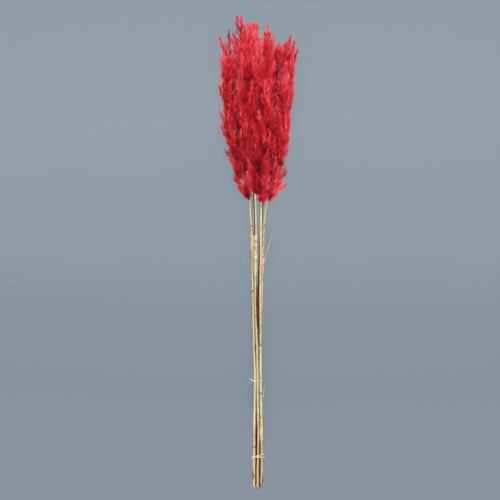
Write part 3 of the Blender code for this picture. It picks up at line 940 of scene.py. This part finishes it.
def dress(plume, branches, draw):
    """The silk of one plume: tufts all along its branches, thickest below the middle of each."""
    count = len(branches["root"])
    shape = (count, TUFTS_ON_BRANCH)
    t = np.linspace(0.03, 1.0, TUFTS_ON_BRANCH)[None] + draw.uniform(-0.012, 0.012, shape)
    here = on_branch(branches, t)
    forward = (on_branch(branches, t + 0.02) - here).reshape(-1, 3)
    outline = np.clip((1 - t) * 2.0, 0, 1) ** 0.8 * np.clip((t + 0.10) / 0.35, 0, 1)
    girth = branches["girth"][:, None] * outline
    share_out = np.sqrt(draw.uniform(0, 1, shape))
    around = frames_along(forward, draw.uniform(0, 2 * math.pi, t.size))
    here = here.reshape(-1, 3) + around[:, :, 0] * (girth * share_out).reshape(-1, 1)
    lean = (0.10 + 0.50 * share_out * draw.uniform(0.5, 1.4, shape) * (1 - 0.75 * t)).reshape(-1, 1)
    direction = around[:, :, 2] * np.cos(lean) + around[:, :, 0] * np.sin(lean)
    t, share_out = t.ravel(), share_out.ravel()
    height = np.clip((here[:, 1] - DEEPEST_Y) / PALEST_RISE, 0, 1)
    tones = tones_of(branches, here, height, draw)
    # Painted shade: tufts on branches that stay near the stalk, and near the middle of their branch, start
    # darker on the ramp.
    depth = np.repeat(branches["spread"], TUFTS_ON_BRANCH) * (0.5 + 0.5 * share_out)
    kinds = np.where(
        draw.uniform(0.55, 1.0, t.size) < t,
        LOOSE_TUFTS + draw.integers(0, TIGHT_TUFTS, t.size),
        draw.integers(0, LOOSE_TUFTS, t.size),
    )
    return stamp(
        f"plume_{plume.number}_silk",
        kinds,
        here,
        frames_along(direction, draw.uniform(0, 2 * math.pi, t.size)),
        draw.uniform(0.8, 1.2, t.size) * (1 - 0.30 * t),
        tones,
        # Each hair runs up the ramp from a root darkened as painted shade to its tip; it starts lower near
        # its branch's root and deep in the plume, as painted shade, and higher up the plume, as dye.
        0.04 + 0.46 * t * depth + 0.08 * height,
        0.20 + 0.26 * t,
    )


def branch_tubes(plume, branches):
    """The thin stalks of the side branches, as one mesh of tapered tubes."""
    curve = bpy.data.curves.new(f"plume_{plume.number}_branches", "CURVE")
    curve.dimensions = "3D"
    curve.bevel_depth = 1.0
    curve.bevel_resolution = 0
    curve.use_fill_caps = True
    steps = np.tile(np.linspace(0, BRANCH_END, BRANCH_STEPS), (len(branches["root"]), 1))
    lines = on_branch(branches, steps)
    lines[..., 2] = np.maximum(lines[..., 2], 2 * BRANCH_RADIUS + FLOOR_CLEARANCE)
    for line in lines:
        spline = curve.splines.new("POLY")
        spline.points.add(BRANCH_STEPS - 1)
        for share, point, co in zip(steps[0], spline.points, line):
            point.co = (*co, 1.0)
            point.radius = BRANCH_RADIUS * (1.2 - 0.8 * share)
    holder = bpy.data.objects.new(curve.name, curve)
    scene.collection.objects.link(holder)
    bpy.context.view_layer.update()
    mesh = bpy.data.meshes.new_from_object(holder.evaluated_get(bpy.context.evaluated_depsgraph_get()))
    bpy.data.objects.remove(holder, do_unlink=True)
    mesh.name = curve.name
    return mesh


plumes = {number: Plume(number) for number in STALKS}
for number, plume in plumes.items():
    draw = np.random.default_rng(100 + number)
    branches = grow_branches(plume, draw)
    for part, mesh, finish in (
        ("silk", dress(plume, branches, draw), silk),
        ("branches", branch_tubes(plume, branches), twig),
    ):
        piece = own_object(f"plume_{number}_{part}", mesh, finish)
        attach(piece, "root")
        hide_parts(f"plume_{number}")


# Ties. Two lengths of pale three-ply twine: the upper goes round once, the lower twice, and each is
# knotted on top with its cut tails left short. The object holds them all the way round.

PLIES = 3
PLY_SIDES = 7
PLY_RADIUS = 0.00036
PLY_OFFSET = 0.00036
TWIST_PITCH = 0.0038
TWINE_REACH = PLY_RADIUS + PLY_OFFSET
TWINE_GAP = 0.0002
SEAM_GAP = 0.0002
TWINE_STEP = 0.0004
WRAP_STEPS = 160
END_STEPS, END_TAPER = 6, 0.45  # how many rings of a cut end draw in, and to what share
OVERHAND_STEPS = 60
OVERHAND_SCALE = 0.00040
OVERHAND_LIFT = 0.0009
TAIL_STEPS = 30
UNDERSIDE = 0.0015

jute = Finish("pale_twine", {
    "Specular IOR Level": 0.2,
    "Roughness": 0.85,
    "Sheen Weight": 0.3,
    "Sheen Roughness": 0.5,
})
strands = jute.noise(jute.place((2400.0, 2400.0, 2400.0)), 1.0, 2.0)
stains = jute.noise(jute.place((260.0, 260.0, 260.0)), 1.0, 2.0)
jute_colour = jute.blend(jute.band(strands, 0.3, 0.7), (0.42, 0.33, 0.18), (0.66, 0.57, 0.38))
jute_colour = jute.blend(jute.band(stains, 0.58, 0.75) * 0.5, jute_colour, (0.46, 0.33, 0.17))
jute.feed("Base Color", jute_colour)
jute.feed("Normal", jute.bump(strands, 0.00012, 0.8))


def wrap_line(y, tilt):
    """A taut loop round the six stems: round the outer ones and straight between them."""
    turns = np.linspace(0, 2 * math.pi, WRAP_STEPS, endpoint=False)
    headings = np.stack([np.cos(turns), np.sin(turns)], axis=1)
    centres = np.array([culm.at(y)[[0, 2]] for culm in culms.values()])
    reach = np.array([float(culm.radius_at(y)) for culm in culms.values()]) + TWINE_REACH + TWINE_GAP
    outmost = centres @ headings.T + reach[:, None]
    pick = outmost.argmax(axis=0)
    loop = centres[pick] + headings * reach[pick, None]
    lean = tilt * (loop[:, 0] - centres[:, 0].mean())
    return np.stack([loop[:, 0], y + lean, loop[:, 1]], axis=1)


def even_steps(line, closed):
    """The same line with its points a fixed step apart."""
    if closed:
        line = np.concatenate([line, line[:1]])
    travel = np.concatenate([[0], np.cumsum(np.linalg.norm(np.diff(line, axis=0), axis=1))])
    count = max(int(travel[-1] / TWINE_STEP), 8)
    places = np.linspace(0, travel[-1], count, endpoint=not closed)
    return np.stack([np.interp(places, travel, line[:, axis]) for axis in range(3)], axis=1)


def rope(bm, line, closed=False):
    """Three plies wound round each other along the line."""
    line = even_steps(line, closed)
    count = len(line)
    length = TWINE_STEP * count
    winds = max(round(length / TWIST_PITCH), 1)
    ahead = np.roll(line, -1, axis=0) - np.roll(line, 1, axis=0)
    if not closed:
        ahead[0], ahead[-1] = line[1] - line[0], line[-1] - line[-2]
    ahead /= np.linalg.norm(ahead, axis=1, keepdims=True)
    helper = np.array([0.0, 1.0, 0.0]) if closed else np.array([0.0, 0.0, 1.0])
    side = np.cross(helper, ahead)
    side /= np.linalg.norm(side, axis=1, keepdims=True)
    up = np.cross(ahead, side)
    for ply in range(PLIES):
        turn = 2 * math.pi * (winds * np.arange(count) / count + ply / PLIES)
        path = line + PLY_OFFSET * (np.cos(turn)[:, None] * side + np.sin(turn)[:, None] * up)
        radii = np.full(count, PLY_RADIUS)
        if closed:
            path = np.concatenate([path, path[:1]])
            radii = np.append(radii, PLY_RADIUS)
            rings = sweep(bm, [tuple(point) for point in path], radii, PLY_SIDES, closed=True)
            bmesh.ops.remove_doubles(bm, verts=rings[0] + rings[-1], dist=SEAM_GAP)
        else:
            radii[-END_STEPS:] *= np.linspace(1.0, END_TAPER, END_STEPS)
            sweep(bm, [tuple(point) for point in path], radii, PLY_SIDES)


def overhand(centre):
    """The line of a small pulled knot: a three-leaved loop, flattened against the stems."""
    t = np.linspace(0, 2 * math.pi, OVERHAND_STEPS, endpoint=False)
    x = np.sin(t) + 2 * np.sin(2 * t)
    y = np.cos(t) - 2 * np.cos(2 * t)
    z = -np.sin(3 * t) * 1.1
    return centre + OVERHAND_SCALE * np.stack([x * 1.1, y * 0.9, z], axis=1)


def tie(node, wraps, knot_at, tails):
    """Twine round the stems at each wrap (its y and its slant), with a knot and tails on top."""
    bm = bmesh.new()
    for y, tilt in wraps:
        rope(bm, wrap_line(y, tilt), closed=True)
    top = wrap_line(knot_at[1], 0.0)[:, 2].max()
    centre = np.array([knot_at[0], knot_at[1], top + OVERHAND_LIFT])
    rope(bm, overhand(centre), closed=True)
    for tail in tails:
        route = centre + np.array(tail)
        steps = np.arange(len(route))
        fine = np.linspace(0, len(route) - 1, TAIL_STEPS)
        rope(bm, np.stack([glide(steps, route[:, axis], fine) for axis in range(3)], axis=1))
    name = f"{node}_twine"
    piece = own_object(name, finish_mesh(bm, name, 60), jute)
    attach(piece, "root")
    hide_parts(node)


def tie_middle(node):
    """Where along the stems a tie lies: the middle of the part of it that is under the stems."""
    points = corners_of(node)
    under = points[points[:, 2] < points[:, 2].min() + UNDERSIDE]
    return float(under[:, 1].mean())


upper_y, lower_y = tie_middle("upper_tie"), tie_middle("lower_tie")
tie(
    "upper_tie",
    [(upper_y, 0.02)],
    (-0.0058, upper_y),
    [
        [(0, 0, 0), (-0.0026, 0.0008, 0.0004), (-0.0048, 0.0020, 0.0000), (-0.0070, 0.0042, -0.0008)],
        [(0, 0, 0), (0.0022, -0.0016, 0.0006), (0.0042, -0.0030, 0.0006)],
    ],
)
tie(
    "lower_tie",
    [(lower_y + 0.0014, 0.22), (lower_y - 0.0016, -0.02)],
    (0.0012, lower_y),
    [
        [(0, 0, 0), (-0.0040, -0.0010, 0.0006), (-0.0078, -0.0030, 0.0002), (-0.0104, -0.0062, -0.0010)],
        [(0, 0, 0), (0.0036, -0.0008, 0.0005), (0.0070, -0.0012, 0.0000), (0.0100, -0.0016, -0.0010)],
    ],
)
